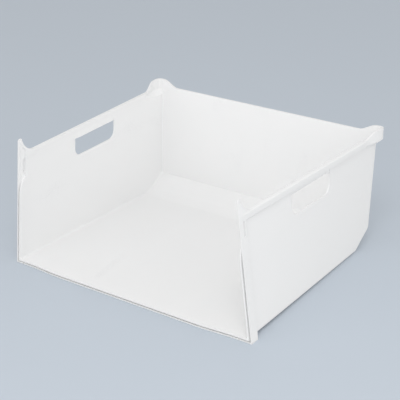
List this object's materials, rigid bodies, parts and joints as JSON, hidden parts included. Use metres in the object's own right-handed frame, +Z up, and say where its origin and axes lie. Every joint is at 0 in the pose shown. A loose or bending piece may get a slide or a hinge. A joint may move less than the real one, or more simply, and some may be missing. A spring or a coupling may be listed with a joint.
{
  "type": "freezer drawer",
  "caption": "Moulded freezer drawer body with an open front, slanted heel, hand slots in the side walls and raised ears at the rear corners.",
  "frame": {"origin": "middle of the footprint, on the plane the drawer stands on", "axes": "+X across the drawer to its right side, +Y from the open front to the rear wall, +Z up"},
  "size_m": [0.43, 0.375, 0.2072],
  "materials": {
    "body": "white polystyrene, satin gloss as moulded"
  },
  "bodies": {
    "root": {"drawer_body": "body"}
  },
  "joints": []
}
